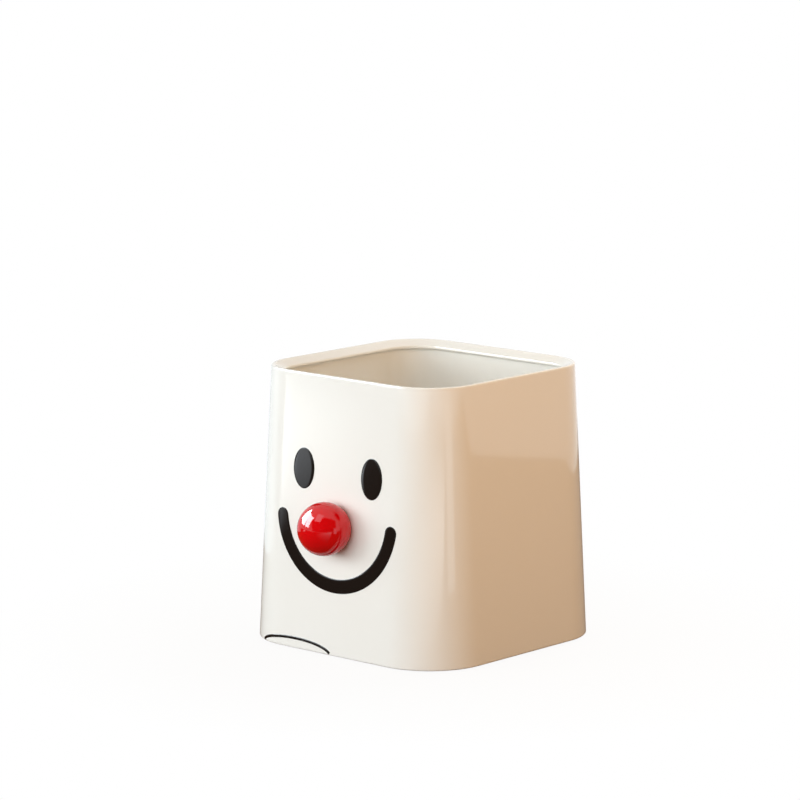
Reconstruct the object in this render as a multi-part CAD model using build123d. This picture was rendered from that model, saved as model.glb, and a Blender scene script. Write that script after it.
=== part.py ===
"""Desk pen holder: a leaning square cup with a snap-in floor, a red ball nose and a printed smile.

Millimetres. The origin is the middle of the footprint on the desk, +Z is up and the face looks along -Y.
Left and right are the viewer's, standing in front of the face.
"""
import math
import os

from build123d import *

# Cup: outer sizes at the rim and at the foot
TOP_SIDE = 110.0
BASE_SIDE = 122.0
OVERALL_HEIGHT = 125.0
BASE_CORNER_RADIUS = 29.0
WALL = 3.0
FOOT_EDGE_ROUND = 0.6
SIDES = 4

# Rim: a narrow level land, then a lip that slopes into the cup and stands in from the wall
RIM_LAND = 1.4
RIM_ROUND = 0.7
LIP_REACH = 3.0
LIP_FALL = 2.6
LIP_FACE = 1.4
LIP_ROUND = 0.7
LIP_ROUND_MOST = 0.55  # share of the lip's upright face that the round of its lower edge may take

# Floor pan and the rebate that takes it
PAN_DEPTH = 6.0
REBATE_DEPTH = 1.2
PAN_RECESS = 0.2
PAN_CLEARANCE = 0.15
PAN_LEAD_IN = 0.5
FLOOR_THICKNESS = 2.2
SKIRT_THICKNESS = 2.0
RIB_THICKNESS = 1.6
RIB_RECESS = 0.8

# Snap catches, one in the middle of each side
CATCH_LENGTH = 36.0
CATCH_TALL = 2.4
CATCH_HEIGHT = 0.5
CATCH_ROOT = 0.3
CATCH_SLACK = 0.15

# Anti-slip feet
FOOT_DIAMETER = 12.0
FOOT_THICKNESS = 2.0
FOOT_STAND_OFF = 0.6
FOOT_INSET = 21.0
FOOT_CLEARANCE = 0.1
FOOT_BOSS_WALL = 1.6
FOOT_TREAD_CHAMFER = 0.3

# Nose, its screw and its washer
NOSE_DIAMETER = 24.0
NOSE_REACH = 19.7
NOSE_LEVEL = 58.5
SCREW_DIAMETER = 3.0
SCREW_LENGTH = 12.0
SCREW_HEAD_DIAMETER = 6.0
SCREW_HEAD_HEIGHT = 2.2
SCREW_HEAD_ROUND = 1.2
SCREW_TIP_CHAMFER = 0.5
DRIVE_WIDTH = 0.9
DRIVE_LENGTH = 3.4
DRIVE_DEPTH = 1.3
WASHER_DIAMETER = 9.0
WASHER_THICKNESS = 0.8
SCREW_HOLE_CLEARANCE = 0.2
PILOT_CLEARANCE = 0.05
PILOT_SPARE = 1.0

# Printed face: levels are heights above the desk at the wall
FILM_THICKNESS = 0.2
FILM_BOND = 0.05  # layer of adhesive between the film and the wall
EYE_WIDTH = 12.4
EYE_TALL = 18.4
EYE_SPACING = 40.4
EYE_LEVEL = 82.4
SMILE_RADIUS = 32.5
SMILE_STROKE = 6.4
SMILE_ANGLE = 164.0
SMILE_LEVEL = 64.5
ARCH_WIDTH = 43.2
ARCH_RISE = 5.2
ARCH_STROKE = 1.3
ARCH_OFFSET = 22.6

# Direction of the lowest point of an arc, in degrees from +X
STRAIGHT_DOWN = 270.0

# Reach of a cutting tool past the faces that it cuts
CUT_MARGIN = 1.0
FILM_CUT_REACH = 6.0

# Distance within which an edge counts as lying at a height
EDGE_NEAR = 0.01

# Worked out from the sizes above
shell_bottom = FOOT_STAND_OFF
pan_bottom = shell_bottom + PAN_RECESS
ledge_level = shell_bottom + PAN_DEPTH
floor_underside = ledge_level - FLOOR_THICKNESS
lean = (BASE_SIDE - TOP_SIDE) / 2 / (OVERALL_HEIGHT - shell_bottom)
draft = math.atan(lean)
wall_across = WALL * math.cos(draft)
rebate_inset = WALL - REBATE_DEPTH
pan_inset = rebate_inset + PAN_CLEARANCE
lip_inset = WALL + LIP_REACH
lip_shoulder = OVERALL_HEIGHT - LIP_FALL
lip_underside = lip_shoulder - LIP_FACE
lip_round = min(LIP_ROUND, LIP_ROUND_MOST * LIP_FACE)
foot_offset = BASE_SIDE / 2 - FOOT_INSET
foot_pocket_radius = FOOT_DIAMETER / 2 + FOOT_CLEARANCE
washer_back = -wall_across - WASHER_THICKNESS
pilot_depth = SCREW_LENGTH + washer_back + PILOT_SPARE


def side_at(level):
    """Outer width of the leaning cup at a height."""
    return BASE_SIDE - 2 * lean * (level - shell_bottom)


def rounded_square(side):
    """Square outline of the cup at one height, its corners about the cup's four upright corner axes."""
    return RectangleRounded(side, side, BASE_CORNER_RADIUS - (BASE_SIDE - side) / 2)


def leaning_block(inset, low, high):
    """Solid of the cup's own form, its sides moved in by inset, between two heights."""
    wide_end = low if lean >= 0 else high
    outline = rounded_square(side_at(wide_end) - 2 * inset)
    block = extrude(outline, amount=high - low, taper=math.degrees(abs(draft)))
    stand = Rot(0, 0, 0) if lean >= 0 else Rot(180, 0, 0)
    return Pos(0, 0, wide_end) * stand * block


def front_wall(level):
    """Plane on the outer front wall at a height: x to the right, y up the wall, z out of it."""
    outward = (0, -math.cos(draft), math.sin(draft))
    return Plane(origin=(0, -side_at(level) / 2, level), x_dir=(1, 0, 0), z_dir=outward)


def peg(radius, low, high):
    """Upright cylinder between two heights."""
    return Pos(0, 0, low) * extrude(Circle(radius), amount=high - low)


def catches(slack):
    """Trapezoid ridges along the middle of the four sides, grown by slack to make their grooves."""
    level = (pan_bottom + ledge_level) / 2
    root = pan_inset + CATCH_ROOT
    tip = pan_inset - CATCH_HEIGHT - slack
    root_half = CATCH_TALL / 2 + slack
    tip_half = root_half - (root - tip)
    corners = [
        (root - side_at(level - root_half) / 2, level - root_half),
        (tip - side_at(level - tip_half) / 2, level - tip_half),
        (tip - side_at(level + tip_half) / 2, level + tip_half),
        (root - side_at(level + root_half) / 2, level + root_half),
    ]
    section = Plane.YZ * Polygon(*corners, align=None)
    ridge = extrude(section, amount=CATCH_LENGTH / 2 + slack, both=True)
    return [Rot(0, 0, turn * 360 / SIDES) * ridge for turn in range(SIDES)]


def foot_places():
    """Node name and centre of each foot."""
    return {
        "foot_front_left": (-foot_offset, -foot_offset),
        "foot_front_right": (foot_offset, -foot_offset),
        "foot_rear_left": (-foot_offset, foot_offset),
        "foot_rear_right": (foot_offset, foot_offset),
    }


def make_mouth():
    """Tool that cuts the opening inside the lip and the slope of the lip's top."""
    opening = leaning_block(lip_inset, lip_underside - CUT_MARGIN, OVERALL_HEIGHT + CUT_MARGIN)
    land_side = side_at(OVERALL_HEIGHT) - 2 * RIM_LAND
    shoulder_side = side_at(lip_shoulder) - 2 * lip_inset
    run = (land_side - shoulder_side) / 2 / LIP_FALL
    funnel = extrude(
        rounded_square(land_side + 2 * run * CUT_MARGIN),
        amount=LIP_FALL + 2 * CUT_MARGIN,
        taper=math.degrees(math.atan(run)),
    )
    return opening + Pos(0, 0, OVERALL_HEIGHT + CUT_MARGIN) * Rot(180, 0, 0) * funnel


def edges_at(solid, level):
    """Edges that lie at a height."""
    return solid.edges().filter_by_position(Axis.Z, level - EDGE_NEAR, level + EDGE_NEAR)


def make_body_shell():
    """Leaning wall with a lip, a rebate and catch grooves for the floor and the nose's screw hole."""
    shell = leaning_block(0, shell_bottom, OVERALL_HEIGHT)
    shell -= leaning_block(WALL, shell_bottom - CUT_MARGIN, lip_underside)
    shell -= make_mouth()
    shell = fillet(shell.faces().sort_by(Axis.Z)[-1].outer_wire().edges(), RIM_ROUND)
    shell = fillet(edges_at(shell, lip_shoulder) + edges_at(shell, lip_underside), lip_round)
    foot_edges = shell.faces().sort_by(Axis.Z)[0].outer_wire().edges()
    shell = fillet(foot_edges, FOOT_EDGE_ROUND)
    shell -= leaning_block(rebate_inset, shell_bottom - CUT_MARGIN, ledge_level)
    for groove in catches(CATCH_SLACK):
        shell -= groove
    hole_radius = SCREW_DIAMETER / 2 + SCREW_HOLE_CLEARANCE
    shell -= front_wall(NOSE_LEVEL) * peg(hole_radius, -wall_across - CUT_MARGIN, CUT_MARGIN)
    return shell


def make_base_pan():
    """Floor with a skirt, crossing ribs, four foot pockets and a catch on each side."""
    block = leaning_block(pan_inset, pan_bottom, ledge_level)
    block = chamfer(block.faces().sort_by(Axis.Z)[-1].edges(), PAN_LEAD_IN)
    hollow = leaning_block(pan_inset + SKIRT_THICKNESS, pan_bottom - CUT_MARGIN, floor_underside)
    rib_bottom = pan_bottom + RIB_RECESS
    rib_tall = floor_underside - rib_bottom
    rib_middle = (floor_underside + rib_bottom) / 2
    ribs = []
    for offset in (-foot_offset, foot_offset):
        ribs.append(Pos(offset, 0, rib_middle) * Box(RIB_THICKNESS, BASE_SIDE, rib_tall))
        ribs.append(Pos(0, offset, rib_middle) * Box(BASE_SIDE, RIB_THICKNESS, rib_tall))
    bosses = []
    for x, y in foot_places().values():
        bosses.append(Pos(x, y) * peg(foot_pocket_radius + FOOT_BOSS_WALL, pan_bottom, floor_underside))
    stiffening = (Part() + ribs + bosses) & hollow
    pan = block - hollow + stiffening + catches(0)
    for x, y in foot_places().values():
        pan -= Pos(x, y) * peg(foot_pocket_radius, pan_bottom - CUT_MARGIN, FOOT_THICKNESS)
    return pan


def make_foot(x, y):
    """Round pad with a softened tread edge, seated in its pocket."""
    pad = peg(FOOT_DIAMETER / 2, 0, FOOT_THICKNESS)
    pad = chamfer(pad.faces().sort_by(Axis.Z)[0].edges(), FOOT_TREAD_CHAMFER)
    return Pos(x, y) * pad


def make_nose_ball():
    """Ball cut flat where it seats on the wall, with a blind hole for the screw."""
    ball = Pos(0, 0, NOSE_REACH - NOSE_DIAMETER / 2) * Sphere(NOSE_DIAMETER / 2)
    ball -= peg(NOSE_DIAMETER, -NOSE_DIAMETER, 0)
    ball -= peg(SCREW_DIAMETER / 2 + PILOT_CLEARANCE, -CUT_MARGIN, pilot_depth)
    return front_wall(NOSE_LEVEL) * ball


def make_nose_washer():
    """Flat washer against the inside of the wall."""
    washer = peg(WASHER_DIAMETER / 2, washer_back, -wall_across)
    hole_radius = SCREW_DIAMETER / 2 + SCREW_HOLE_CLEARANCE
    washer -= peg(hole_radius, washer_back - CUT_MARGIN, -wall_across + CUT_MARGIN)
    return front_wall(NOSE_LEVEL) * washer


def make_nose_screw():
    """Pan-head screw with a cross recess, from inside the cup into the ball."""
    head_back = washer_back - SCREW_HEAD_HEIGHT
    head = peg(SCREW_HEAD_DIAMETER / 2, head_back, washer_back)
    head = fillet(head.faces().sort_by(Axis.Z)[0].edges(), SCREW_HEAD_ROUND)
    shank = peg(SCREW_DIAMETER / 2, washer_back, washer_back + SCREW_LENGTH)
    shank = chamfer(shank.faces().sort_by(Axis.Z)[-1].edges(), SCREW_TIP_CHAMFER)
    screw = head + shank
    for turn in (0, 90):
        screw -= Pos(0, 0, head_back) * Rot(0, 0, turn) * Box(DRIVE_LENGTH, DRIVE_WIDTH, 2 * DRIVE_DEPTH)
    return front_wall(NOSE_LEVEL) * screw


def make_film(level, outline):
    """Thin film that follows the wall, in an outline drawn on the front wall at a height."""
    low = shell_bottom + FOOT_EDGE_ROUND
    high = OVERALL_HEIGHT - RIM_ROUND
    skin = leaning_block(-FILM_BOND - FILM_THICKNESS, low, high)
    skin -= leaning_block(-FILM_BOND, low - CUT_MARGIN, high + CUT_MARGIN)
    return skin & extrude(front_wall(level) * outline, amount=FILM_CUT_REACH, both=True)


def make_eye(x):
    """Upright oval eye."""
    return make_film(EYE_LEVEL, Pos(x, 0) * Ellipse(EYE_WIDTH / 2, EYE_TALL / 2))


def make_smile():
    """Even stroke along a circular arc, round at both ends."""
    arc = CenterArc((0, 0), SMILE_RADIUS, STRAIGHT_DOWN - SMILE_ANGLE / 2, SMILE_ANGLE)
    return make_film(SMILE_LEVEL, SlotArc(arc, SMILE_STROKE))


def make_arch():
    """Fine line in the upper half of a flat oval that stands on the foot of the wall."""
    outline = Ellipse(ARCH_WIDTH / 2, ARCH_RISE)
    outline -= Ellipse(ARCH_WIDTH / 2 - ARCH_STROKE, ARCH_RISE - ARCH_STROKE)
    return make_film(shell_bottom, Pos(-ARCH_OFFSET, 0) * outline)


pieces = {
    "body_shell": make_body_shell(),
    "base_pan": make_base_pan(),
    "nose_ball": make_nose_ball(),
    "nose_washer": make_nose_washer(),
    "nose_screw": make_nose_screw(),
    "left_eye_decal": make_eye(-EYE_SPACING / 2),
    "right_eye_decal": make_eye(EYE_SPACING / 2),
    "smile_decal": make_smile(),
    "arch_decal": make_arch(),
}
for name, (x, y) in foot_places().items():
    pieces[name] = make_foot(x, y)

os.makedirs("parts", exist_ok=True)
for name, piece in pieces.items():
    export_step(piece, f"parts/{name}.step")
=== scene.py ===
import math
from collections import namedtuple

import bmesh
import bpy
from bpy.props import FloatProperty, FloatVectorProperty, PointerProperty
from mathutils import Matrix, Vector


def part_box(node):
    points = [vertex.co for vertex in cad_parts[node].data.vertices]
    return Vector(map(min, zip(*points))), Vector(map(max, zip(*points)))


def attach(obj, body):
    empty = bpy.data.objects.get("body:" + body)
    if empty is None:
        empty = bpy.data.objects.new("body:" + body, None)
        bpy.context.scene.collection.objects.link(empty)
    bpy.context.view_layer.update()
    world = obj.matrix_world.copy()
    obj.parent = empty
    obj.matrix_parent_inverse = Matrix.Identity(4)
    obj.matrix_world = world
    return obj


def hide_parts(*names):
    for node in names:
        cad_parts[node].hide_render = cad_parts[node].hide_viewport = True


bl_info = {
    "name": "Pen holder with a round nose",
    "version": (1, 0, 0),
    "blender": (4, 5, 0),
    "location": "View3D > Sidebar > Pen holder",
    "description": "Builds a leaning square pen holder with a ball nose and a smile over its solids",
    "category": "Object",
}

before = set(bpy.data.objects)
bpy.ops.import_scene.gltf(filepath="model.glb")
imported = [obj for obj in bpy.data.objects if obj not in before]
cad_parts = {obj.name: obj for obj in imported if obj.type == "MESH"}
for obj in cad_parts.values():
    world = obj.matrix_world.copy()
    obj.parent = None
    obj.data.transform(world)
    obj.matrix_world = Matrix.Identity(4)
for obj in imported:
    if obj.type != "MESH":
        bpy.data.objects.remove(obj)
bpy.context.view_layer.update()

MM = 0.001
BODY = "root"

# Fineness of the meshes
CORNER_STEPS = 32
FLAT_STEPS = 16
WALL_STEPS = 12
ROUND_STEPS = 6
TURN_STEPS = 128
BALL_STEPS = 72
STROKE_STEPS = 96
OVAL_STEPS = 48
BORDER_STEPS = 4
LANE_STEPS = 8
BEVEL_STEPS = 2
BEVEL_ANGLE = math.radians(50)
SHARP_ANGLE = math.radians(35)
SIDES = 4

# Loops this near to a rounded edge keep the flat beside it flat to the eye
HOLD = 0.8 * MM

# Points nearer than this are one point
WELD = 0.001 * MM
FILM_WELD = 0.0005 * MM

# Sockets of a mix node that blends colours
MIX_FACTOR, MIX_FIRST, MIX_SECOND, MIX_RESULT = 0, 6, 7, 2

# Places of the carried solids, read from their meshes in model.glb
SHELL_LOW, SHELL_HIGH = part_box("body_shell")
PAN_LOW, PAN_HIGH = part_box("base_pan")
FEET = ("foot_front_left", "foot_front_right", "foot_rear_left", "foot_rear_right")


def linear(hex_colour):
    """Linear RGBA of an sRGB hex colour, by the standard's own curve."""
    shares = [int(hex_colour[start:start + 2], 16) / 255 for start in (1, 3, 5)]
    return tuple(c / 12.92 if c <= 0.04045 else ((c + 0.055) / 1.055) ** 2.4 for c in shares) + (1.0,)


def size(name, description, default):
    """Property for a length in metres."""
    return FloatProperty(name=name, description=description, unit="LENGTH", precision=5, default=default)


def colour(name, description, hex_colour):
    """Property for a colour that is written as sRGB hex."""
    return FloatVectorProperty(
        name=name, description=description, subtype="COLOR", size=4, min=0, max=1,
        default=linear(hex_colour),
    )


def angle(name, description, degrees):
    """Property for an angle."""
    return FloatProperty(
        name=name, description=description, unit="ROTATION", default=math.radians(degrees)
    )


class CupSettings(bpy.types.PropertyGroup):
    """Sizes and colour of the leaning wall."""

    foot_width: size("Foot width", "Outer width across the foot", 122 * MM)
    rim_width: size("Rim width", "Outer width across the rim", 110 * MM)
    foot_corner: size("Foot corner", "Outer corner radius at the foot", 29 * MM)
    foot_level: size("Foot level", "Height of the wall's lower edge", SHELL_LOW.z)
    rim_level: size("Rim level", "Height of the rim", SHELL_HIGH.z)
    wall: size("Wall", "Thickness of the wall", 3 * MM)
    rim_land: size("Rim land", "Width of the level part of the rim, with its outer edge", 1.4 * MM)
    rim_round: size("Rim edge", "Radius of the rim's outer edge", 0.7 * MM)
    lip_reach: size("Lip reach", "How far the lip stands in from the inside of the wall", 3 * MM)
    lip_fall: size("Lip fall", "Fall of the lip's sloping top", 2.6 * MM)
    lip_depth: size("Lip depth", "Height from the lip's underside to the rim", 4.0 * MM)
    lip_round: size("Lip edges", "Radius of the lip's edges", 0.7 * MM)
    foot_round: size("Foot edge", "Radius of the foot's outer edge", 0.6 * MM)
    ledge_level: size("Ledge level", "Height of the inside floor, where the pan stops", PAN_HIGH.z)
    rebate: size("Rebate", "Depth of the step that takes the floor pan", 1.2 * MM)
    plastic: colour("Plastic", "Colour of the gloss wall", "#F0EDE6")


class FloorPanSettings(bpy.types.PropertyGroup):
    """Sizes and colours of the floor pan and its pads."""

    clearance: size("Clearance", "Gap round the pan in its rebate", 0.15 * MM)
    lead_in: size("Lead-in", "Chamfer round the pan's upper edge", 0.5 * MM)
    floor: size("Floor", "Thickness of the floor", 2.2 * MM)
    skirt: size("Skirt", "Thickness of the skirt", 2.0 * MM)
    rib: size("Rib", "Thickness of a rib", 1.6 * MM)
    rib_recess: size("Rib recess", "How far a rib stays above the skirt's edge", 0.8 * MM)
    boss_wall: size("Boss wall", "Wall round a pad", 1.6 * MM)
    pad_clearance: size("Pad clearance", "Gap round a pad in its pocket", 0.1 * MM)
    edge_round: size("Edge round", "Softening of the moulded edges", 0.2 * MM)
    tread_round: size("Tread round", "Radius of a pad's tread edge", 0.3 * MM)
    plastic: colour("Plastic", "Colour of the satin pan", "#E6DFD0")
    rubber: colour("Rubber", "Colour of the pads", "#2B2A29")


class NoseSettings(bpy.types.PropertyGroup):
    """Sizes and colours of the nose and of what holds it."""

    diameter: size("Diameter", "Diameter of the ball", 24 * MM)
    reach: size("Reach", "How far the ball stands out of the wall", 19.7 * MM)
    level: size("Level", "Height of the nose's axis at the wall", 58.5 * MM)
    pilot_diameter: size("Pilot hole", "Diameter of the blind hole in the ball", 3.1 * MM)
    pilot_depth: size("Pilot depth", "Depth of the blind hole", 9.2 * MM)
    washer_diameter: size("Washer", "Outer diameter of the washer", 9 * MM)
    washer_thickness: size("Washer thickness", "Thickness of the washer", 0.8 * MM)
    washer_edge: size("Washer edge", "Chamfer round the washer", 0.2 * MM)
    hole_diameter: size("Hole", "Diameter of the hole in wall and washer", 3.4 * MM)
    screw_diameter: size("Screw", "Diameter of the shank", 3 * MM)
    screw_length: size("Screw length", "Length under the head", 12 * MM)
    tip_chamfer: size("Tip chamfer", "Chamfer on the end of the shank", 0.45 * MM)
    head_diameter: size("Head", "Diameter of the screw head", 6 * MM)
    head_height: size("Head height", "Height of the screw head", 2.2 * MM)
    head_round: size("Head round", "Radius of the head's edge", 1.2 * MM)
    drive_length: size("Drive length", "Length of one arm pair of the cross recess", 3.4 * MM)
    drive_width: size("Drive width", "Width of the cross recess", 0.9 * MM)
    drive_depth: size("Drive depth", "Depth of the cross recess", 1.3 * MM)
    lacquer: colour("Lacquer", "Colour of the ball", "#D2040C")
    steel: colour("Steel", "Colour of the plating", "#CFCDC8")


class FaceSettings(bpy.types.PropertyGroup):
    """Sizes and colour of the printed face."""

    film: size("Film", "Height of the film's face above the wall", 0.25 * MM)
    edge: size("Edge", "Width of the film's rounded border", 0.2 * MM)
    eye_width: size("Eye width", "Width of an eye", 12.4 * MM)
    eye_height: size("Eye height", "Height of an eye", 18.4 * MM)
    eye_spacing: size("Eye spacing", "Distance between the middles of the eyes", 40.4 * MM)
    eye_level: size("Eye level", "Height of the middle of the eyes", 82.4 * MM)
    smile_radius: size("Smile radius", "Radius of the smile's middle line", 32.5 * MM)
    smile_stroke: size("Smile stroke", "Width of the smile", 6.4 * MM)
    smile_level: size("Smile level", "Height of the middle of the smile's circle", 64.5 * MM)
    smile_angle: angle("Smile angle", "Angle that the smile takes of its circle", 164)
    arch_width: size("Arch width", "Width of the low arch", 43.2 * MM)
    arch_rise: size("Arch rise", "Height of the low arch above the foot", 5.2 * MM)
    arch_stroke: size("Arch stroke", "Width of the arch's line", 1.3 * MM)
    arch_offset: size("Arch offset", "Middle of the arch, to the left of the middle", 22.6 * MM)
    ink: colour("Ink", "Colour of the film", "#141211")


class StageSettings(bpy.types.PropertyGroup):
    """Camera, floor, mirrored table and room."""

    camera_azimuth: angle("Azimuth", "Camera's turn to the right of the face", 41.76)
    camera_elevation: angle("Elevation", "Camera's height above the horizon", 10.01)
    camera_distance: size("Distance", "Camera's distance from its aim", 1799.1 * MM)
    camera_aim: FloatVectorProperty(
        name="Aim", description="Point in the middle of the picture", subtype="XYZ", unit="LENGTH",
        default=(-7.85 * MM, -7.01 * MM, 107.86 * MM),
    )
    lens: FloatProperty(
        name="Lens", description="Focal length in millimetres", unit="CAMERA", default=179.87
    )
    sensor: FloatProperty(
        name="Sensor", description="Width of the sensor in millimetres", unit="CAMERA", default=36
    )
    floor: colour("Floor", "Colour of the floor where its shadow is seen", "#E8D8C4")
    floor_reach: size("Floor reach", "Half width of the floor", 12000 * MM)
    shadow_start: size("Shadow start", "Distance at which the floor's shadow begins to fade", 70 * MM)
    shadow_end: size("Shadow end", "Distance at which the floor is all white", 200 * MM)
    shadow_white: FloatProperty(
        name="Shadow white", description="Share of white in the floor's shadow", subtype="FACTOR",
        min=0, max=1, default=0.93,
    )
    table: colour("Table", "Colour that the gloss mirrors and the floor throws back", "#6B4A30")
    table_side: size("Table side", "Half width of the mirrored table", 1200 * MM)
    table_front: size("Table front", "Front edge of the mirrored table", -1200 * MM)
    table_back: size("Table back", "Back edge of the mirrored table", 530 * MM)
    table_gap: size("Table gap", "Height of the mirrored table over the floor", 0.1 * MM)
    room: colour("Room", "Colour of the light from all round", "#FFE7CB")
    room_level: FloatProperty(
        name="Room level", description="Brightness of the light from all round", min=0, default=0.2
    )


def lean(cup):
    """How far a wall comes in for each metre of height."""
    return (cup.foot_width - cup.rim_width) / 2 / (cup.rim_level - cup.foot_level)


def half_width(cup, level):
    """Half the cup's outer width at a height."""
    return cup.foot_width / 2 - lean(cup) * (level - cup.foot_level)


def corner_radius(cup, level):
    """Outer corner radius at a height."""
    return cup.foot_corner - lean(cup) * (level - cup.foot_level)


def square_ring(cup, inset, level):
    """Points round the cup at a height, moved in from the outer wall by inset."""
    half = half_width(cup, level) - inset
    corner = corner_radius(cup, level) - inset
    middle = half - corner
    side = []
    for step in range(CORNER_STEPS + 1):
        turn = math.pi / 2 * step / CORNER_STEPS
        side.append(Vector((middle + corner * math.cos(turn), middle + corner * math.sin(turn), level)))
    for step in range(1, FLAT_STEPS):
        side.append(Vector((middle - 2 * middle * step / FLAT_STEPS, half, level)))
    quarters = [Matrix.Rotation(math.pi / 2 * turn, 3, "Z") for turn in range(SIDES)]
    return [quarter @ point for quarter in quarters for point in side]


def arc(across, level, radius, start, end, steps=ROUND_STEPS):
    """Points of an arc about (across, level), between two angles in degrees."""
    turns = [math.radians(start + (end - start) * step / steps) for step in range(steps + 1)]
    return [(across + radius * math.cos(turn), level + radius * math.sin(turn)) for turn in turns]


def evenly(start, end, steps):
    """Values from start to end, both included."""
    return [start + (end - start) * step / steps for step in range(steps + 1)]


def skin(rings, closed):
    """Mesh through rings of points, joined end to end or capped at both ends."""
    mesh = bmesh.new()
    loops = [[mesh.verts.new(point) for point in ring] for ring in rings]
    count = len(rings[0])
    following = loops[1:] + (loops[:1] if closed else [])
    for low, high in zip(loops, following):
        for at in range(count):
            beside = (at + 1) % count
            mesh.faces.new((low[at], low[beside], high[beside], high[at]))
    if not closed:
        mesh.faces.new(loops[0])
        mesh.faces.new(loops[-1])
    bmesh.ops.recalc_face_normals(mesh, faces=mesh.faces)
    return mesh


def turned(profile, place):
    """Solid of revolution from (radius, height) points, about the Z axis of a placing matrix."""
    mesh = bmesh.new()
    chain = [mesh.verts.new((radius, 0, height)) for radius, height in profile]
    edges = [mesh.edges.new(pair) for pair in zip(chain, chain[1:])]
    bmesh.ops.spin(
        mesh, geom=chain + edges, cent=(0, 0, 0), axis=(0, 0, 1), angle=2 * math.pi, steps=TURN_STEPS
    )
    bmesh.ops.remove_doubles(mesh, verts=mesh.verts, dist=WELD)
    bmesh.ops.recalc_face_normals(mesh, faces=mesh.faces)
    mesh.transform(place)
    return mesh


def block(low, high):
    """Box between two corners."""
    mesh = bmesh.new()
    bmesh.ops.create_cube(mesh, size=1)
    stretch = Matrix.Diagonal(Vector(high) - Vector(low)).to_4x4()
    mesh.transform(Matrix.Translation((Vector(low) + Vector(high)) / 2) @ stretch)
    return mesh


def combined(mesh, tool, operation):
    """The first mesh joined with, or cut by, the second."""
    pair = []
    for part in (mesh, tool):
        data = bpy.data.meshes.new("work")
        part.to_mesh(data)
        part.free()
        pair.append(bpy.data.objects.new("work", data))
        bpy.context.scene.collection.objects.link(pair[-1])
    change = pair[0].modifiers.new("change", "BOOLEAN")
    change.operation = operation
    change.object = pair[1]
    change.solver = "EXACT"
    change.use_self = True
    graph = bpy.context.evaluated_depsgraph_get()
    result = bmesh.new()
    result.from_object(pair[0], graph)
    for thing in pair:
        data = thing.data
        bpy.data.objects.remove(thing)
        bpy.data.meshes.remove(data)
    if not result.faces:
        raise RuntimeError("A cut left nothing of the piece")
    bmesh.ops.remove_doubles(result, verts=result.verts, dist=WELD)
    bmesh.ops.dissolve_degenerate(result, edges=result.edges, dist=WELD)
    return result


def make_piece(name, mesh, material, slot, *nodes):
    """Smooth-shaded object that rides on the body and stands for its CAD nodes."""
    data = bpy.data.meshes.new(name)
    mesh.to_mesh(data)
    mesh.free()
    data.shade_smooth()
    data.set_sharp_from_angle(angle=SHARP_ANGLE)
    data.materials.append(material)
    piece = bpy.data.objects.new(name, data)
    bpy.context.scene.collection.objects.link(piece)
    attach(piece, BODY)
    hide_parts(*nodes)
    return piece


def add_node(tree, kind, settings=None, inputs=None):
    """Node of a kind, with its settings, and with inputs that are values or links."""
    node = tree.nodes.new(kind)
    for key, value in (settings or {}).items():
        setattr(node, key, value)
    for key, value in (inputs or {}).items():
        if isinstance(value, bpy.types.NodeSocket):
            tree.links.new(value, node.inputs[key])
        else:
            node.inputs[key].default_value = value
    return node


def new_material(name):
    """New material, its node tree, its shader and its object coordinates in metres."""
    material = bpy.data.materials.new(name)
    material.use_nodes = True
    tree = material.node_tree
    shader = tree.nodes["Principled BSDF"]
    place = add_node(tree, "ShaderNodeTexCoord").outputs["Object"]
    return material, tree, shader, place


def gloss_abs(cup):
    """Injection-moulded ABS from a polished tool."""
    # Hard, even gloss: reflections stay clear but waver, with faint flow shades and handling marks
    ior = 1.53
    flow_size = 45 * MM
    flow_shade = (0.975, 0.965, 0.945, 1.0)
    sink_size = 16 * MM
    sink_depth = 0.002 * MM
    smudge_size = 9 * MM
    polished, smudged = 0.03, 0.06
    material, tree, shader, place = new_material("cream_gloss_abs_moulded")
    flow = add_node(
        tree, "ShaderNodeTexNoise", inputs={"Vector": place, "Scale": 1 / flow_size, "Detail": 3.0}
    )
    deep = [share * shade for share, shade in zip(cup.plastic, flow_shade)]
    tone = add_node(
        tree, "ShaderNodeMix", {"data_type": "RGBA"},
        {MIX_FACTOR: flow.outputs["Fac"], MIX_FIRST: cup.plastic, MIX_SECOND: deep},
    )
    smudge = add_node(
        tree, "ShaderNodeTexNoise", inputs={"Vector": place, "Scale": 1 / smudge_size, "Detail": 6.0}
    )
    gloss = add_node(
        tree, "ShaderNodeMapRange",
        inputs={"Value": smudge.outputs["Fac"], "To Min": polished, "To Max": smudged},
    )
    sink = add_node(
        tree, "ShaderNodeTexNoise", inputs={"Vector": place, "Scale": 1 / sink_size, "Detail": 1.0}
    )
    bump = add_node(
        tree, "ShaderNodeBump",
        inputs={"Strength": 1.0, "Distance": sink_depth, "Height": sink.outputs["Fac"]},
    )
    shader.inputs["IOR"].default_value = ior
    tree.links.new(tone.outputs[MIX_RESULT], shader.inputs["Base Color"])
    tree.links.new(gloss.outputs["Result"], shader.inputs["Roughness"])
    tree.links.new(bump.outputs["Normal"], shader.inputs["Normal"])
    return material


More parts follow.
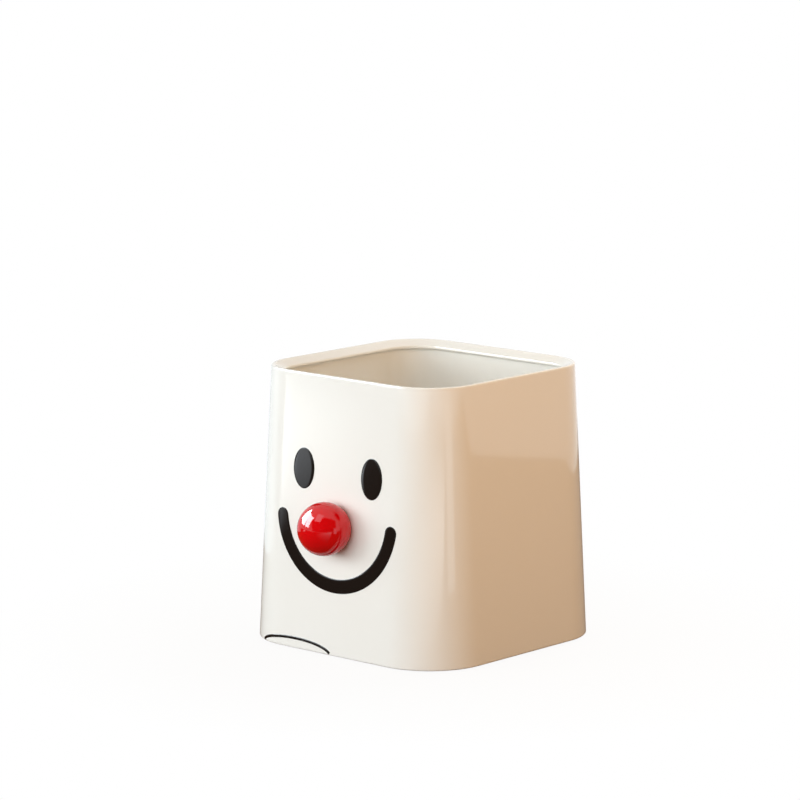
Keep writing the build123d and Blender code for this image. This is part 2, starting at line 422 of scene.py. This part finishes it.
def satin_abs(pan):
    """Injection-moulded ABS from a spark-eroded tool."""
    # Dull, finely pitted skin that takes no clear reflection; its pits are drawn coarse enough to show
    ior = 1.53
    pit_size = 0.6 * MM
    pit_depth = 0.01 * MM
    smooth, pitted = 0.4, 0.55
    material, tree, shader, place = new_material("cream_satin_abs_moulded")
    pits = add_node(
        tree, "ShaderNodeTexNoise", inputs={"Vector": place, "Scale": 1 / pit_size, "Detail": 2.0}
    )
    bump = add_node(
        tree, "ShaderNodeBump",
        inputs={"Strength": 1.0, "Distance": pit_depth, "Height": pits.outputs["Fac"]},
    )
    dull = add_node(
        tree, "ShaderNodeMapRange",
        inputs={"Value": pits.outputs["Fac"], "To Min": smooth, "To Max": pitted},
    )
    shader.inputs["Base Color"].default_value = pan.plastic
    shader.inputs["IOR"].default_value = ior
    tree.links.new(dull.outputs["Result"], shader.inputs["Roughness"])
    tree.links.new(bump.outputs["Normal"], shader.inputs["Normal"])
    return material


def moulded_rubber(pan):
    """Moulded rubber with a fine grained tread."""
    # Matt and dark, with a soft grain that catches the light at a slant
    ior = 1.5
    roughness = 0.7
    grain_size = 0.5 * MM
    grain_depth = 0.03 * MM
    material, tree, shader, place = new_material("black_rubber_moulded")
    grain = add_node(
        tree, "ShaderNodeTexVoronoi", {"feature": "F1"}, {"Vector": place, "Scale": 1 / grain_size}
    )
    bump = add_node(
        tree, "ShaderNodeBump",
        inputs={"Strength": 1.0, "Distance": grain_depth, "Height": grain.outputs["Distance"]},
    )
    shader.inputs["Base Color"].default_value = pan.rubber
    shader.inputs["Roughness"].default_value = roughness
    shader.inputs["IOR"].default_value = ior
    tree.links.new(bump.outputs["Normal"], shader.inputs["Normal"])
    return material


def gloss_lacquer(nose):
    """Red lacquer that the ball was dipped in."""
    # Deep, wet-looking red, with a slight skin that bends the reflections
    ior = 1.5
    skin_size = 7 * MM
    skin_depth = 0.004 * MM
    clear, veiled = 0.03, 0.06
    material, tree, shader, place = new_material("red_gloss_lacquer_dipped")
    waves = add_node(
        tree, "ShaderNodeTexNoise", inputs={"Vector": place, "Scale": 1 / skin_size, "Detail": 1.0}
    )
    bump = add_node(
        tree, "ShaderNodeBump",
        inputs={"Strength": 1.0, "Distance": skin_depth, "Height": waves.outputs["Fac"]},
    )
    gloss = add_node(
        tree, "ShaderNodeMapRange",
        inputs={"Value": waves.outputs["Fac"], "To Min": clear, "To Max": veiled},
    )
    shader.inputs["Base Color"].default_value = nose.lacquer
    shader.inputs["IOR"].default_value = ior
    tree.links.new(gloss.outputs["Result"], shader.inputs["Roughness"])
    tree.links.new(bump.outputs["Normal"], shader.inputs["Normal"])
    return material


def plated_steel(nose):
    """Zinc-plated steel."""
    # Bright grey metal with a fine crystal mottle
    mottle_size = 0.8 * MM
    bright, clouded = 0.2, 0.4
    material, tree, shader, place = new_material("plated_steel_zinc")
    mottle = add_node(tree, "ShaderNodeTexNoise", inputs={"Vector": place, "Scale": 1 / mottle_size})
    dull = add_node(
        tree, "ShaderNodeMapRange",
        inputs={"Value": mottle.outputs["Fac"], "To Min": bright, "To Max": clouded},
    )
    shader.inputs["Base Color"].default_value = nose.steel
    shader.inputs["Metallic"].default_value = 1.0
    tree.links.new(dull.outputs["Result"], shader.inputs["Roughness"])
    return material


def printed_film(face):
    """Black vinyl film, cut and laid on the wall."""
    # Glossy black that greys over where it mirrors the window, with a slight pebble
    ior = 1.5
    pebble_size = 2.5 * MM
    pebble_depth = 0.001 * MM
    glossy, hazed = 0.05, 0.09
    material, tree, shader, place = new_material("black_vinyl_film_cut")
    pebble = add_node(
        tree, "ShaderNodeTexNoise", inputs={"Vector": place, "Scale": 1 / pebble_size, "Detail": 2.0}
    )
    bump = add_node(
        tree, "ShaderNodeBump",
        inputs={"Strength": 1.0, "Distance": pebble_depth, "Height": pebble.outputs["Fac"]},
    )
    gloss = add_node(
        tree, "ShaderNodeMapRange",
        inputs={"Value": pebble.outputs["Fac"], "To Min": glossy, "To Max": hazed},
    )
    shader.inputs["Base Color"].default_value = face.ink
    shader.inputs["IOR"].default_value = ior
    tree.links.new(gloss.outputs["Result"], shader.inputs["Roughness"])
    tree.links.new(bump.outputs["Normal"], shader.inputs["Normal"])
    return material


def front_axis(cup, level):
    """Placing matrix on the front wall at a height: Z out of the wall, X to the right."""
    draft = math.atan(lean(cup))
    out = Vector((0, -math.cos(draft), math.sin(draft)))
    right = Vector((1, 0, 0))
    turn = Matrix((right, out.cross(right), out)).transposed().to_4x4()
    return Matrix.Translation((0, -half_width(cup, level), level)) @ turn


def upright(node):
    """Placing matrix of the upright axis through the middle of a solid."""
    low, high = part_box(node)
    return Matrix.Translation(((low.x + high.x) / 2, (low.y + high.y) / 2, 0))


def on_wall(cup, across, level, out):
    """Point in front of the outer wall: across from the middle, at a height, and out from the skin."""
    half = half_width(cup, level)
    corner = corner_radius(cup, level)
    past = max(abs(across) - (half - corner), 0)
    turn = math.copysign(math.asin(past / corner), across)
    draft = math.atan(lean(cup))
    depth = half - corner + corner * math.cos(turn)
    normal = Vector((
        math.sin(turn) * math.cos(draft), -math.cos(turn) * math.cos(draft), math.sin(draft)
    ))
    return Vector((across, -depth, level)) + out * normal


def film_on_wall(cup, face, level, sections):
    """Thin film with a rounded border on the wall, from sections along it.

    A section is its middle, the direction across it, half its width and its share of the film's height.
    """
    draft = math.atan(lean(cup))
    turns = evenly(0, math.pi / 2, BORDER_STEPS)
    rings = []
    for middle, across, half, share in sections:
        border = min(face.edge, half)
        flat = half - border
        rise = face.film * share
        bead = [(flat + border * math.cos(turn), rise * math.sin(turn)) for turn in turns]
        lanes = bead + [(place, rise) for place in evenly(flat, -flat, LANE_STEPS)[1:-1]]
        lanes += [(-place, out) for place, out in reversed(bead)]
        lanes += [(place, 0) for place in evenly(-half, half, LANE_STEPS)[1:-1]]
        ring = []
        for place, out in lanes:
            point = middle + across * place
            ring.append(on_wall(cup, point.x, level + point.y * math.cos(draft), out))
        rings.append(ring)
    mesh = skin(rings, closed=False)
    bmesh.ops.remove_doubles(mesh, verts=mesh.verts, dist=FILM_WELD)
    bmesh.ops.dissolve_degenerate(mesh, edges=mesh.edges, dist=FILM_WELD)
    return mesh


def border_share(distance, face):
    """Height of a film at a distance from its end, as a share of its full height."""
    past = max(1 - distance / face.edge, 0)
    return math.sqrt(max(1 - past * past, 0))


class PENHOLDER_OT_cup_wall(bpy.types.Operator):
    """Builds the leaning wall with its sloping lip and the rebate under its foot"""

    bl_idname = "pen_holder.cup_wall"
    bl_label = "Cup wall"

    def execute(self, context):
        cup = context.scene.pen_holder_cup
        nose = context.scene.pen_holder_nose
        foot, rim = cup.foot_level, cup.rim_level
        step_in = cup.wall - cup.rebate
        profile = arc(cup.foot_round, foot + cup.foot_round, cup.foot_round, 270, 180)
        low, high = foot + cup.foot_round + HOLD, rim - cup.rim_round - HOLD
        profile += [(0, level) for level in evenly(low, high, WALL_STEPS)]
        profile += arc(cup.rim_round, rim - cup.rim_round, cup.rim_round, 180, 90)
        profile += self.lip_profile(cup)
        high = rim - cup.lip_depth - cup.lip_round - HOLD
        profile += [(cup.wall, level) for level in evenly(high, cup.ledge_level, WALL_STEPS)]
        profile += [(step_in, cup.ledge_level), (step_in, foot)]
        mesh = skin([square_ring(cup, inset, level) for inset, level in profile], closed=True)
        hole, deep = nose.hole_diameter / 2, 2 * cup.wall
        bore = [(0, -deep), (hole, -deep), (hole, cup.wall), (0, cup.wall)]
        mesh = combined(mesh, turned(bore, front_axis(cup, nose.level)), "DIFFERENCE")
        make_piece("cup_wall", mesh, gloss_abs(cup), "cream_shell", "body_shell")
        return {"FINISHED"}

    def lip_profile(self, cup):
        """Section of the lip: its sloping top, its inner face and its underside, with rounded edges."""
        tip, edge = cup.wall + cup.lip_reach, cup.lip_round
        slope = math.degrees(math.atan2(cup.lip_fall, tip - cup.rim_land))
        under = cup.rim_level - cup.lip_depth
        start = cup.rim_land - edge * math.tan(math.radians(slope / 2))
        bend_level = cup.rim_level - cup.lip_fall - edge * math.tan(math.radians(45 - slope / 2))
        crest = arc(start, cup.rim_level - edge, edge, 90, 90 - slope)
        bend = arc(tip - edge, bend_level, edge, 90 - slope, 0)
        heel = arc(tip - edge, under + edge, edge, 0, -90)
        root = arc(cup.wall + edge, under - edge, edge, 90, 180)
        profile = []
        for curve, following in ((crest, bend), (bend, heel), (heel, root)):
            profile += curve
            gap = Vector(following[0]) - Vector(curve[-1])
            step = gap.normalized() * min(HOLD, gap.length / 3)
            profile += [tuple(Vector(curve[-1]) + step), tuple(Vector(following[0]) - step)]
        return profile + root


class PENHOLDER_OT_floor_pan(bpy.types.Operator):
    """Builds the ribbed floor pan that sits in the foot of the wall"""

    bl_idname = "pen_holder.floor_pan"
    bl_label = "Floor pan"

    def execute(self, context):
        cup = context.scene.pen_holder_cup
        pan = context.scene.pen_holder_pan
        outside = cup.wall - cup.rebate + pan.clearance
        inside = outside + pan.skirt
        under = PAN_HIGH.z - pan.floor
        profile = [
            (outside + pan.lead_in, PAN_HIGH.z),
            (outside, PAN_HIGH.z - pan.lead_in),
            (outside, PAN_LOW.z),
            (inside, PAN_LOW.z),
            (inside, under),
        ]
        mesh = skin([square_ring(cup, inset, level) for inset, level in profile], closed=False)
        low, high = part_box("foot_front_right")
        offset = (low.x + high.x) / 2
        radius = (high.x - low.x) / 2 + pan.pad_clearance
        bite = pan.skirt / 2
        top = under + bite
        end = half_width(cup, PAN_LOW.z) - inside
        corner = corner_radius(cup, PAN_LOW.z) - inside
        past = offset - (end - corner)
        reach = end - corner + math.sqrt(corner ** 2 - past ** 2) + bite
        half = pan.rib / 2
        rib_low = PAN_LOW.z + pan.rib_recess
        for place in (-offset, offset):
            for turn in (0, math.pi / 2):
                rib = block((place - half, -reach, rib_low), (place + half, reach, top))
                rib.transform(Matrix.Rotation(turn, 4, "Z"))
                mesh = combined(mesh, rib, "UNION")
        outer = radius + pan.boss_wall
        boss = [(0, PAN_LOW.z), (outer, PAN_LOW.z), (outer, top), (0, top)]
        pocket = [(0, -bite), (radius, -bite), (radius, high.z), (0, high.z)]
        for node in FEET:
            mesh = combined(mesh, turned(boss, upright(node)), "UNION")
            mesh = combined(mesh, turned(pocket, upright(node)), "DIFFERENCE")
        piece = make_piece("floor_pan", mesh, satin_abs(pan), "cream_base", "base_pan")
        soften = piece.modifiers.new("moulded edges", "BEVEL")
        soften.width = pan.edge_round
        soften.segments = BEVEL_STEPS
        soften.limit_method = "ANGLE"
        soften.angle_limit = BEVEL_ANGLE
        soften.harden_normals = True
        return {"FINISHED"}


class PENHOLDER_OT_pads(bpy.types.Operator):
    """Builds the four anti-slip pads under the floor"""

    bl_idname = "pen_holder.pads"
    bl_label = "Anti-slip pads"

    def execute(self, context):
        pan = context.scene.pen_holder_pan
        rubber = moulded_rubber(pan)
        for node in FEET:
            low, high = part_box(node)
            radius = (high.x - low.x) / 2
            tread = pan.tread_round
            profile = [(0, high.z), (radius, high.z)]
            profile += arc(radius - tread, low.z + tread, tread, 0, -90)
            profile += [(0, low.z)]
            mesh = turned(profile, upright(node))
            make_piece(node.replace("foot", "pad"), mesh, rubber, "foot_rubber", node)
        return {"FINISHED"}


class PENHOLDER_OT_nose(bpy.types.Operator):
    """Builds the round nose on the front wall"""

    bl_idname = "pen_holder.nose"
    bl_label = "Nose"

    def execute(self, context):
        cup = context.scene.pen_holder_cup
        nose = context.scene.pen_holder_nose
        radius = nose.diameter / 2
        middle = nose.reach - radius
        seat = math.degrees(math.asin(-middle / radius))
        pilot = nose.pilot_diameter / 2
        profile = [(0, nose.pilot_depth), (pilot, nose.pilot_depth), (pilot, 0)]
        profile += arc(0, middle, radius, seat, 90, BALL_STEPS)[:-1]
        profile += [(0, nose.reach)]
        mesh = turned(profile, front_axis(cup, nose.level))
        make_piece("nose", mesh, gloss_lacquer(nose), "red_nose", "nose_ball")
        return {"FINISHED"}


class PENHOLDER_OT_nose_fixing(bpy.types.Operator):
    """Builds the washer and the screw that hold the nose from inside"""

    bl_idname = "pen_holder.nose_fixing"
    bl_label = "Nose screw and washer"

    def execute(self, context):
        cup = context.scene.pen_holder_cup
        nose = context.scene.pen_holder_nose
        steel = plated_steel(nose)
        place = front_axis(cup, nose.level)
        front = -cup.wall * math.cos(math.atan(lean(cup)))
        back = front - nose.washer_thickness
        edge = nose.washer_edge
        hole, rim = nose.hole_diameter / 2, nose.washer_diameter / 2
        ring = [(hole, front), (rim - edge, front), (rim, front - edge)]
        ring += [(rim, back + edge), (rim - edge, back), (hole, back), (hole, front)]
        mesh = turned(ring, place)
        make_piece("nose_fixing_washer", mesh, steel, "plated_steel", "nose_washer")
        top = back - nose.head_height
        head = nose.head_diameter / 2
        shank = nose.screw_diameter / 2
        tip, chamfer = back + nose.screw_length, nose.tip_chamfer
        profile = [(0, tip), (shank - chamfer, tip), (shank, tip - chamfer), (shank, back), (head, back)]
        profile += arc(head - nose.head_round, top + nose.head_round, nose.head_round, 0, -90)
        profile += [(0, top)]
        mesh = turned(profile, Matrix.Identity(4))
        long, wide, deep = nose.drive_length / 2, nose.drive_width / 2, nose.drive_depth
        for low, high in (((-long, -wide), (long, wide)), ((-wide, -long), (wide, long))):
            slot = block((*low, top - deep), (*high, top + deep))
            mesh = combined(mesh, slot, "DIFFERENCE")
        mesh.transform(place)
        make_piece("nose_fixing_screw", mesh, steel, "plated_steel", "nose_screw")
        return {"FINISHED"}


class PENHOLDER_OT_face(bpy.types.Operator):
    """Lays the eyes, the smile and the low arch on the front wall"""

    bl_idname = "pen_holder.face"
    bl_label = "Printed face"

    def execute(self, context):
        cup = context.scene.pen_holder_cup
        face = context.scene.pen_holder_face
        film = printed_film(face)
        right = Vector((1, 0))
        wide, tall = face.eye_width / 2, face.eye_height / 2
        for name, node, side in (("left_eye", "left_eye_decal", -1), ("right_eye", "right_eye_decal", 1)):
            sections = []
            for turn in evenly(-math.pi / 2, math.pi / 2, OVAL_STEPS):
                middle = Vector((side * face.eye_spacing / 2, tall * math.sin(turn)))
                share = border_share(tall - abs(middle.y), face)
                sections.append((middle, right, wide * math.cos(turn), share))
            mesh = film_on_wall(cup, face, face.eye_level, sections)
            make_piece(name, mesh, film, "black_film", node)
        sections = self.smile_sections(face)
        mesh = film_on_wall(cup, face, face.smile_level, sections)
        make_piece("smile", mesh, film, "black_film", "smile_decal")
        sections = self.arch_sections(cup, face)
        mesh = film_on_wall(cup, face, cup.foot_level, sections)
        make_piece("low_arch", mesh, film, "black_film", "arch_decal")
        return {"FINISHED"}

    def smile_sections(self, face):
        """Sections along the smile's arc, with half-round ends."""
        down = -math.pi / 2
        half = face.smile_stroke / 2
        sections = []
        caps = [half * (1 - math.sin(turn)) for turn in evenly(0, math.pi / 2, ROUND_STEPS * 2)]
        reach = face.smile_angle / 2
        starts = [(-reach, gap - half) for gap in reversed(caps)]
        runs = [(turn, 0) for turn in evenly(-reach, reach, STROKE_STEPS)[1:-1]]
        ends = [(reach, half - gap) for gap in caps]
        for turn, past in starts + runs + ends:
            out = Vector((math.cos(down + turn), math.sin(down + turn)))
            along = Vector((-out.y, out.x))
            width = math.sqrt(max(half ** 2 - past ** 2, 0))
            share = border_share(half - abs(past), face)
            sections.append((out * face.smile_radius + along * past, out, width, share))
        return sections

    def arch_sections(self, cup, face):
        """Sections along the upper half of a flat oval, down to the rounded foot edge."""
        wide, tall = face.arch_width / 2 - face.arch_stroke / 2, face.arch_rise - face.arch_stroke / 2
        start = math.asin(cup.foot_round / (tall - face.arch_stroke / 2))
        sections = []
        for turn in evenly(start, math.pi - start, STROKE_STEPS):
            middle = Vector((wide * math.cos(turn) - face.arch_offset, tall * math.sin(turn)))
            across = Vector((tall * math.cos(turn), wide * math.sin(turn))).normalized()
            sections.append((middle, across, face.arch_stroke / 2, 1))
        return sections


DAYLIGHT = "#EEF8FF"
WARM = "#FFCC8E"
DIM = "#5E3A2C"
UNIT_SQUARE = ((-1, -1, 0), (1, -1, 0), (1, 1, 0), (-1, 1, 0))

# Ray depths below this are first reflections
FIRST_BOUNCE = 1.5

# Rectangles that face the cup: azimuth from the front and elevation in degrees, lengths in metres
Light = namedtuple("Light", "name tint level azimuth elevation distance width height")
LAMPS = (
    Light("window_left", DAYLIGHT, 3.0, -69, 13, 0.9, 0.62, 0.36),
    Light("window_right", DAYLIGHT, 5.7, -36, 13, 0.9, 0.36, 0.36),
    Light("front_room", DAYLIGHT, 3.5, 2, 15, 1.5, 2.0, 1.0),
    Light("ceiling_rear", DAYLIGHT, 3.5, 174, 45, 0.5, 0.36, 0.36),
    Light("warm_right", WARM, 2.95, 87, 24, 0.45, 0.3, 0.3),
    Light("rear_fill", DAYLIGHT, 2.2, 205, 18, 1.5, 2.0, 1.0),
)

# Rectangles that only the gloss mirrors
CARDS = (
    Light("left_pane", DAYLIGHT, 19.0, -69, 27, 0.95, 0.62, 0.64),
    Light("right_pane", DAYLIGHT, 19.0, -36, 27, 0.95, 0.36, 0.64),
    Light("front_card", DAYLIGHT, 2.6, 6, 54, 1.4, 0.6, 0.8),
    Light("dim_wall", DIM, 1.0, 40, 27, 1.8, 4.4, 2.2),
    Light("left_card", DAYLIGHT, 0.9, -103, -1, 0.25, 0.42, 0.13),
    Light("corner_card", DAYLIGHT, 1.4, 75, -1, 0.27, 0.056, 0.1),
)

# Glows on the mirrored table, in degrees and metres; cut is the kept share of the half near the cup
Spot = namedtuple("Spot", "name level azimuth offset distance width length cut")
SPOTS = (
    Spot("window_glare", 4.8, -42.5, -0.03, 0.93, 0.19, 1.1, 1.0),
    Spot("corner_sheen", 2.1, -15.7, 0.616, 0.079, 1.1, 1.0, 0.0),
)


def direction(azimuth, elevation):
    """Unit vector towards an azimuth, from the front to the right, and an elevation."""
    flat = math.cos(elevation)
    return Vector((math.sin(azimuth) * flat, -math.cos(azimuth) * flat, math.sin(elevation)))


class PENHOLDER_OT_stage(bpy.types.Operator):
    """Sets the floor, the room, the lamps, what the gloss mirrors and the camera"""

    bl_idname = "pen_holder.stage"
    bl_label = "Stage"

    def execute(self, context):
        stage = context.scene.pen_holder_stage
        context.scene.view_settings.view_transform = "Standard"
        self.make_floor(stage)
        self.make_world(context, stage)
        for lamp in LAMPS:
            self.make_lamp(lamp)
        for card in CARDS:
            self.make_card(card)
        self.make_table(stage)
        self.make_camera(context, stage)
        return {"FINISHED"}

    def make_face(self, name, finish, place, reach=1):
        """Square of the stage with a half width of reach, and with an empty material of its own."""
        data = bpy.data.meshes.new(name)
        corners = [reach * Vector(corner) for corner in UNIT_SQUARE]
        data.from_pydata(corners, [], [range(len(corners))])
        face = bpy.data.objects.new(name, data)
        bpy.context.scene.collection.objects.link(face)
        face.matrix_world = place
        material = bpy.data.materials.new(finish)
        material.use_nodes = True
        material.node_tree.nodes.remove(material.node_tree.nodes["Principled BSDF"])
        data.materials.append(material)
        return face

    def make_floor(self, stage):
        """Large plain floor that looks white and keeps the soft shadow near the object."""
        floor = self.make_face("floor", "floor_paper", Matrix.Identity(4), stage.floor_reach)
        tree = floor.active_material.node_tree
        seen = self.seen_directly(tree)
        tint = add_node(
            tree, "ShaderNodeMix", {"data_type": "RGBA"},
            {MIX_FACTOR: seen, MIX_FIRST: stage.table, MIX_SECOND: stage.floor},
        )
        paper = add_node(tree, "ShaderNodeBsdfDiffuse", inputs={"Color": tint.outputs[MIX_RESULT]})
        white = add_node(tree, "ShaderNodeEmission", inputs={"Strength": 1.0})
        place = add_node(tree, "ShaderNodeTexCoord").outputs["Object"]
        far = add_node(tree, "ShaderNodeVectorMath", {"operation": "LENGTH"}, {0: place})
        fade = add_node(
            tree, "ShaderNodeMapRange",
            inputs={
                "Value": far.outputs["Value"],
                "From Min": stage.shadow_start,
                "From Max": stage.shadow_end,
                "To Min": stage.shadow_white,
                "To Max": 1.0,
            },
        )
        share = add_node(
            tree, "ShaderNodeMath", {"operation": "MULTIPLY"}, {0: seen, 1: fade.outputs["Result"]}
        )
        mix = add_node(
            tree, "ShaderNodeMixShader",
            inputs={0: share.outputs[0], 1: paper.outputs[0], 2: white.outputs[0]},
        )
        tree.links.new(mix.outputs[0], tree.nodes["Material Output"].inputs["Surface"])

    def make_table(self, stage):
        """Table top that only the gloss mirrors, with the window's glare on it."""
        middle = Vector((0, (stage.table_front + stage.table_back) / 2, stage.table_gap))
        spread = Matrix.Diagonal((stage.table_side, (stage.table_back - stage.table_front) / 2, 1, 1))
        self.make_mirrored("table_top", Matrix.Translation(middle) @ spread, stage.table, 1.0)
        for spot in SPOTS:
            self.make_spot(spot, stage)

    def make_spot(self, spot, stage):
        """Soft round glow on the mirrored table, or the part of one that is far from the cup."""
        middle = Vector((spot.offset, -spot.distance, 2 * stage.table_gap))
        spread = Matrix.Diagonal((spot.width / 2, spot.length / 2, 1, 1))
        turn = Matrix.Rotation(math.radians(spot.azimuth), 4, "Z")
        place = turn @ Matrix.Translation(middle) @ spread
        glow = self.make_mirrored(spot.name, place, linear(DAYLIGHT), spot.level)
        tree = glow.id_data
        where = add_node(tree, "ShaderNodeTexCoord").outputs["Object"]
        soft = add_node(tree, "ShaderNodeTexGradient", {"gradient_type": "SPHERICAL"}, {"Vector": where})
        along = add_node(tree, "ShaderNodeSeparateXYZ", inputs={0: where}).outputs["Y"]
        front = add_node(tree, "ShaderNodeMath", {"operation": "LESS_THAN"}, {0: along, 1: spot.cut})
        kept = add_node(
            tree, "ShaderNodeMath", {"operation": "MULTIPLY"},
            {0: soft.outputs["Fac"], 1: front.outputs[0]},
        )
        level = glow.inputs["Strength"].links[0].from_socket
        bright = add_node(
            tree, "ShaderNodeMath", {"operation": "MULTIPLY"}, {0: kept.outputs[0], 1: level}
        )
        tree.links.new(bright.outputs[0], glow.inputs["Strength"])
        clear = add_node(tree, "ShaderNodeBsdfTransparent")
        both = add_node(tree, "ShaderNodeAddShader", inputs={0: glow.outputs[0], 1: clear.outputs[0]})
        tree.links.new(both.outputs[0], tree.nodes["Material Output"].inputs["Surface"])

    def make_card(self, card):
        """Bright rectangle that only the gloss mirrors."""
        spread = Matrix.Diagonal((card.width / 2, card.height / 2, 1, 1))
        self.make_mirrored(card.name, self.facing(card) @ spread, linear(card.tint), card.level)

    def make_mirrored(self, name, place, tint, level):
        """Glowing rectangle that is seen in first reflections and nowhere else, and its glow's node."""
        face = self.make_face(name, f"{name}_glow", place)
        face.visible_camera = False
        face.visible_diffuse = False
        face.visible_shadow = False
        face.visible_transmission = False
        tree = face.active_material.node_tree
        bounces = add_node(tree, "ShaderNodeLightPath").outputs["Ray Depth"]
        first = add_node(
            tree, "ShaderNodeMath", {"operation": "LESS_THAN"}, {0: bounces, 1: FIRST_BOUNCE}
        )
        strength = add_node(
            tree, "ShaderNodeMath", {"operation": "MULTIPLY"}, {0: first.outputs[0], 1: level}
        )
        glow = add_node(
            tree, "ShaderNodeEmission", inputs={"Color": tint, "Strength": strength.outputs[0]}
        )
        tree.links.new(glow.outputs[0], tree.nodes["Material Output"].inputs["Surface"])
        return glow

    def seen_directly(self, tree):
        """One for what is seen, straight, mirrored or through glass, and nought for bounced light."""
        path = add_node(tree, "ShaderNodeLightPath")
        mirrored = add_node(
            tree, "ShaderNodeMath", {"operation": "MAXIMUM"},
            {0: path.outputs["Is Camera Ray"], 1: path.outputs["Is Glossy Ray"]},
        )
        through = add_node(
            tree, "ShaderNodeMath", {"operation": "MAXIMUM"},
            {0: mirrored.outputs[0], 1: path.outputs["Is Transmission Ray"]},
        )
        return through.outputs[0]

    def make_world(self, context, stage):
        """Soft warm light from all round, white where it is seen."""
        world = bpy.data.worlds.new("room")
        context.scene.world = world
        world.use_nodes = True
        tree = world.node_tree
        room = tree.nodes["Background"]
        room.inputs["Color"].default_value = stage.room
        room.inputs["Strength"].default_value = stage.room_level
        white = add_node(tree, "ShaderNodeBackground", inputs={"Color": (1, 1, 1, 1), "Strength": 1.0})
        mix = add_node(
            tree, "ShaderNodeMixShader",
            inputs={0: self.seen_directly(tree), 1: room.outputs[0], 2: white.outputs[0]},
        )
        tree.links.new(mix.outputs[0], tree.nodes["World Output"].inputs["Surface"])

    def facing(self, light):
        """Placing matrix of a rectangle that faces the middle of the cup."""
        back = direction(math.radians(light.azimuth), math.radians(light.elevation))
        aim = Vector((0, 0, SHELL_HIGH.z / 2))
        turn = back.to_track_quat("Z", "Y").to_matrix().to_4x4()
        return Matrix.Translation(aim + back * light.distance) @ turn

    def make_lamp(self, light):
        """Soft rectangular lamp, its level being its brightness as seen from the cup."""
        data = bpy.data.lights.new(light.name, "AREA")
        data.shape = "RECTANGLE"
        data.size, data.size_y = light.width, light.height
        data.color = linear(light.tint)[:3]
        data.energy = light.level * math.pi * light.width * light.height
        lamp = bpy.data.objects.new(light.name, data)
        bpy.context.scene.collection.objects.link(lamp)
        lamp.matrix_world = self.facing(light)
        lamp.visible_camera = False
        lamp.visible_glossy = False

    def make_camera(self, context, stage):
        """Camera at the photograph's angle."""
        back = direction(stage.camera_azimuth, stage.camera_elevation)
        data = bpy.data.cameras.new("camera")
        data.lens = stage.lens
        data.sensor_width = stage.sensor
        camera = bpy.data.objects.new("camera", data)
        bpy.context.scene.collection.objects.link(camera)
        camera.location = Vector(stage.camera_aim) + back * stage.camera_distance
        camera.rotation_euler = back.to_track_quat("Z", "Y").to_euler()
        context.scene.camera = camera


class PENHOLDER_PT_panel(bpy.types.Panel):
    """Lists the pen holder's settings and its operators"""

    bl_idname = "PENHOLDER_PT_panel"
    bl_label = "Pen holder"
    bl_space_type = "VIEW_3D"
    bl_region_type = "UI"
    bl_category = "Pen holder"

    def draw(self, context):
        for operator in OPERATORS:
            self.layout.operator(operator.bl_idname)
        for group in GROUPS:
            settings = getattr(context.scene, group)
            box = self.layout.box()
            for name in settings.__annotations__:
                box.prop(settings, name)


GROUPS = {
    "pen_holder_cup": CupSettings,
    "pen_holder_pan": FloorPanSettings,
    "pen_holder_nose": NoseSettings,
    "pen_holder_face": FaceSettings,
    "pen_holder_stage": StageSettings,
}
OPERATORS = (
    PENHOLDER_OT_cup_wall,
    PENHOLDER_OT_floor_pan,
    PENHOLDER_OT_pads,
    PENHOLDER_OT_nose,
    PENHOLDER_OT_nose_fixing,
    PENHOLDER_OT_face,
    PENHOLDER_OT_stage,
)


def register():
    """Registers the settings, the operators and the panel."""
    for name, group in GROUPS.items():
        bpy.utils.register_class(group)
        setattr(bpy.types.Scene, name, PointerProperty(type=group))
    for operator in OPERATORS:
        bpy.utils.register_class(operator)
    bpy.utils.register_class(PENHOLDER_PT_panel)


def unregister():
    """Removes what register added."""
    bpy.utils.unregister_class(PENHOLDER_PT_panel)
    for operator in reversed(OPERATORS):
        bpy.utils.unregister_class(operator)
    for name, group in reversed(GROUPS.items()):
        delattr(bpy.types.Scene, name)
        bpy.utils.unregister_class(group)


def main():
    """Builds the pieces and the stage."""
    register()
    bpy.ops.pen_holder.cup_wall()
    bpy.ops.pen_holder.floor_pan()
    bpy.ops.pen_holder.pads()
    bpy.ops.pen_holder.nose()
    bpy.ops.pen_holder.nose_fixing()
    bpy.ops.pen_holder.face()
    bpy.ops.pen_holder.stage()


if __name__ == "__main__":
    main()
